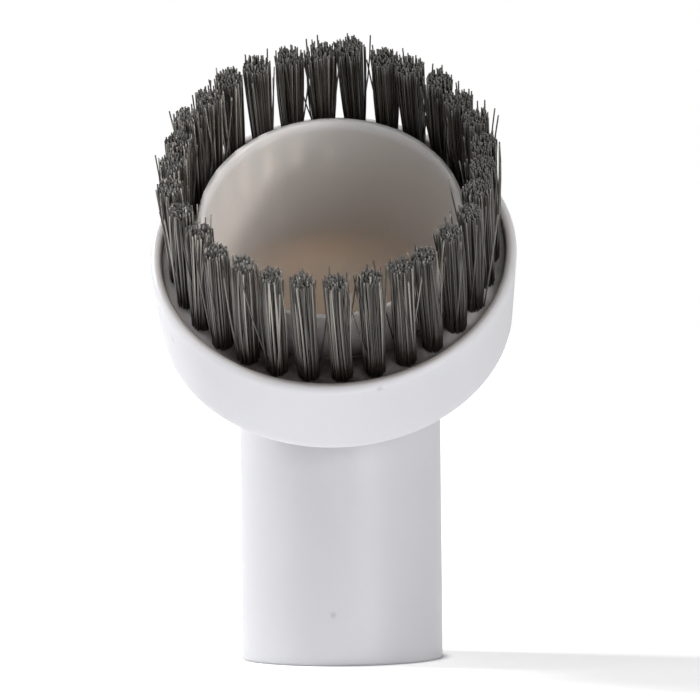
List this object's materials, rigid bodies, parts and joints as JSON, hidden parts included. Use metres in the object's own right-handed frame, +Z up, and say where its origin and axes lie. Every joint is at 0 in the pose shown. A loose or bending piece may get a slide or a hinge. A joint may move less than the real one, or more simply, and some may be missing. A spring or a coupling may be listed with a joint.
{
  "type": "vacuum dusting brush",
  "caption": "Round dusting brush for a vacuum cleaner: a socket tube turns into a tilted round head with a ring of bristle tufts around the open air way.",
  "frame": {"origin": "on the floor under the centre of the bounding box; the axis of the socket tube stands 20.1 mm behind it", "axes": "+Z up along the socket tube, -Y the side that the head faces, +X to the right of someone who looks at the head from the front"},
  "size_m": [0.0662, 0.0772, 0.1143],
  "materials": {
    "moulded_plastic": "satin, light grey",
    "dark_bristle": "dull, dark grey"
  },
  "bodies": {
    "root": {"body": "moulded_plastic", "tuft_01": "dark_bristle", "tuft_02": "dark_bristle", "tuft_03": "dark_bristle", "tuft_04": "dark_bristle", "tuft_05": "dark_bristle", "tuft_06": "dark_bristle", "tuft_07": "dark_bristle", "tuft_08": "dark_bristle", "tuft_09": "dark_bristle", "tuft_10": "dark_bristle", "tuft_11": "dark_bristle", "tuft_12": "dark_bristle", "tuft_13": "dark_bristle", "tuft_14": "dark_bristle", "tuft_15": "dark_bristle", "tuft_16": "dark_bristle", "tuft_17": "dark_bristle", "tuft_18": "dark_bristle", "tuft_19": "dark_bristle", "tuft_20": "dark_bristle", "tuft_21": "dark_bristle", "tuft_22": "dark_bristle", "tuft_23": "dark_bristle", "tuft_24": "dark_bristle", "tuft_25": "dark_bristle", "tuft_26": "dark_bristle", "tuft_27": "dark_bristle", "tuft_28": "dark_bristle", "tuft_29": "dark_bristle", "tuft_30": "dark_bristle"}
  },
  "joints": []
}
